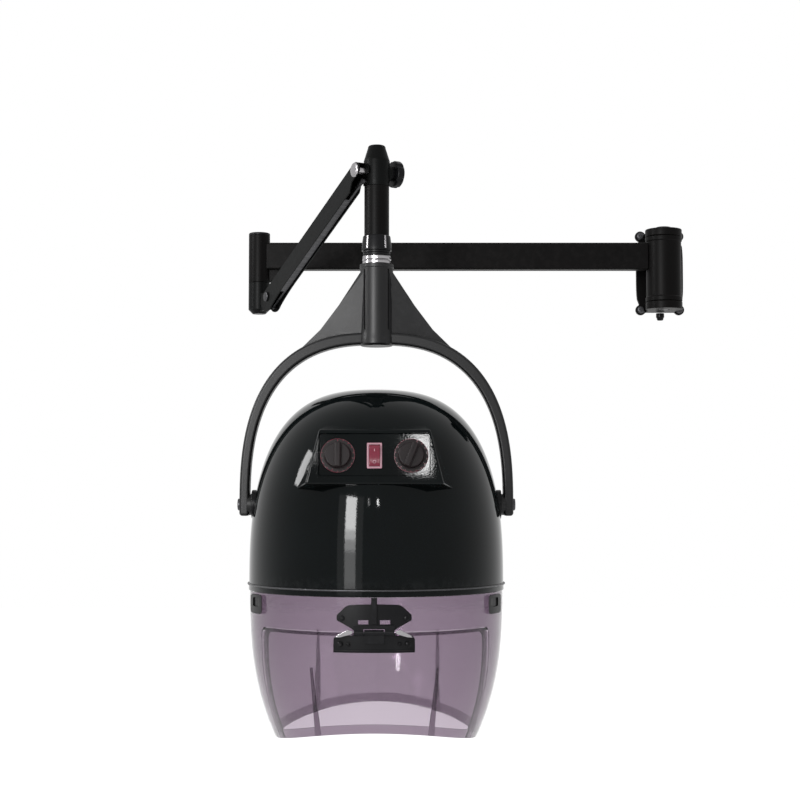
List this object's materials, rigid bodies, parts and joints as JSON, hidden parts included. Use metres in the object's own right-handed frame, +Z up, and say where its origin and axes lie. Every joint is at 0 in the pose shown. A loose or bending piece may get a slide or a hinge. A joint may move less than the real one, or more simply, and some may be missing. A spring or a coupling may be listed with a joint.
{
  "type": "hood hair dryer",
  "caption": "Wall-mounted hood hair dryer: a swinging arm and a rising arm carry a yoke and a tilting gloss hood with dials, a rocker switch and a smoked visor with a front flap.",
  "frame": {"origin": "middle of the wall plate's back face, on the wall", "axes": "+Y into the wall, +Z up, +X to the right of someone facing the wall; the main arm runs towards -X and the hood's front faces -Y"},
  "size_m": [0.75, 0.563, 0.8869],
  "materials": {
    "black_metal": "satin black paint",
    "dark_casting": "painted casting",
    "grey_casting": "painted casting, satin dark grey",
    "dark_steel": "blackened",
    "bright_steel": "turned",
    "gloss_shell": "high gloss",
    "satin_plastic": "satin",
    "knob_plastic": "satin",
    "grey_plastic": "matte",
    "pale_plastic": "satin",
    "red_plastic": "gloss",
    "smoked_plastic": "clear, smoked violet grey"
  },
  "bodies": {
    "wall": {"wall_plate": "black_metal", "wall_ear_upper": "black_metal", "wall_ear_lower": "black_metal", "wall_pivot_pin": "dark_steel", "wall_screw_upper_left": "dark_steel", "wall_screw_upper_right": "dark_steel", "wall_screw_lower_left": "dark_steel", "wall_screw_lower_right": "dark_steel", "cable_inlet_gland": "satin_plastic"},
    "main_arm": {"wall_barrel": "black_metal", "main_arm_tube": "black_metal", "elbow_barrel": "black_metal", "elbow_cap": "satin_plastic"},
    "elbow": {"elbow_knuckle": "dark_casting", "elbow_spindle": "dark_steel", "elbow_spindle_nut": "dark_steel", "lift_arm_lower_pin": "dark_steel", "link_lower_pin": "dark_steel"},
    "lift_arm": {"lift_arm_channel": "dark_casting"},
    "link": {"levelling_link": "dark_steel"},
    "head": {"head_casting": "dark_casting", "head_pivot_bolt": "bright_steel", "link_upper_pin": "dark_steel", "drop_tube": "black_metal", "drop_tube_sleeve": "satin_plastic", "swivel_bush": "bright_steel", "swivel_washer": "satin_plastic"},
    "clamp": {"clamp_knob": "satin_plastic"},
    "yoke": {"yoke": "grey_casting", "swivel_collar": "bright_steel", "swivel_spindle": "bright_steel", "swivel_nut": "bright_steel", "tilt_screw_left": "dark_steel", "tilt_screw_right": "dark_steel", "tilt_nut_left": "bright_steel", "tilt_nut_right": "bright_steel"},
    "hood": {"hood_shell": "gloss_shell", "rim_ring": "gloss_shell", "diffuser_dome": "grey_plastic", "tilt_pad_left": "satin_plastic", "tilt_pad_right": "satin_plastic", "control_console": "gloss_shell", "timer_body": "grey_plastic", "temperature_body": "grey_plastic", "switch_frame": "pale_plastic", "motor_mount": "black_metal", "blower_motor": "bright_steel", "heater_element": "bright_steel", "heater_frame": "grey_plastic", "visor_skirt": "smoked_plastic", "hinge_bracket": "satin_plastic", "hinge_pin": "dark_steel", "visor_clip_left": "satin_plastic", "visor_clip_right": "satin_plastic"},
    "timer": {"timer_knob": "knob_plastic"},
    "temperature": {"temperature_knob": "knob_plastic"},
    "rocker": {"power_rocker": "red_plastic"},
    "fan": {"blower_fan": "grey_plastic"},
    "flap": {"visor_flap": "smoked_plastic", "hinge_leaf": "satin_plastic"}
  },
  "joints": [
    {"name": "main_arm_swing", "type": "hinge", "parent": "wall", "child": "main_arm", "pos_m": [0, -0.05, 0.022], "axis": [0, 0, 1], "range_deg": [0, 180]},
    {"name": "elbow_swing", "type": "hinge", "parent": "main_arm", "child": "elbow", "pos_m": [-0.69, -0.05, 0], "axis": [0, 0, 1], "range_deg": [-150, 25]},
    {"name": "lift_pitch", "type": "hinge", "parent": "elbow", "child": "lift_arm", "pos_m": [-0.666, -0.09157, -0.052], "axis": [-0.866, -0.5, 0], "range_deg": [-58, 11]},
    {"name": "link_pitch", "type": "hinge", "parent": "elbow", "child": "link", "pos_m": [-0.666, -0.09157, -0.068], "axis": [-0.866, -0.5, 0], "range_deg": [-58, 11]},
    {"name": "head_level", "type": "hinge", "parent": "lift_arm", "child": "head", "pos_m": [-0.51007, -0.36164, 0.1069], "axis": [-0.866, -0.5, 0], "range_deg": [-11, 58]},
    {"name": "clamp_knob_turn", "type": "hinge", "parent": "head", "child": "clamp", "pos_m": [-0.51007, -0.36164, 0.1069], "axis": [0.866, 0.5, 0], "range_deg": [-180, 180]},
    {"name": "yoke_swivel", "type": "hinge", "parent": "head", "child": "yoke", "pos_m": [-0.48539, -0.34739, -0.03], "axis": [0, 0, 1], "range_deg": [-90, 90]},
    {"name": "hood_tilt", "type": "hinge", "parent": "yoke", "child": "hood", "pos_m": [-0.48539, -0.34739, -0.398], "axis": [-1, 0, 0], "range_deg": [-15, 40]},
    {"name": "timer_turn", "type": "hinge", "parent": "hood", "child": "timer", "pos_m": [-0.53639, -0.53889, -0.32939], "axis": [0, -0.9903, 0.1392], "range_deg": [-270, 0]},
    {"name": "temperature_turn", "type": "hinge", "parent": "hood", "child": "temperature", "pos_m": [-0.43439, -0.53889, -0.32939], "axis": [0, -0.9903, 0.1392], "range_deg": [-270, 0]},
    {"name": "rocker_rock", "type": "hinge", "parent": "hood", "child": "rocker", "pos_m": [-0.48539, -0.53889, -0.32939], "axis": [1, 0, 0], "range_deg": [-12, 0]},
    {"name": "fan_spin", "type": "hinge", "parent": "hood", "child": "fan", "pos_m": [-0.48539, -0.34739, -0.3], "axis": [0, 0, 1], "continuous": true},
    {"name": "visor_open", "type": "hinge", "parent": "hood", "child": "flap", "pos_m": [-0.48539, -0.55904, -0.5716], "axis": [-1, 0, 0], "range_deg": [0, 70]}
  ],
  "couplings": [
    {"joint": "link_pitch", "follows": "lift_pitch", "ratio": 1},
    {"joint": "head_level", "follows": "lift_pitch", "ratio": -1}
  ]
}
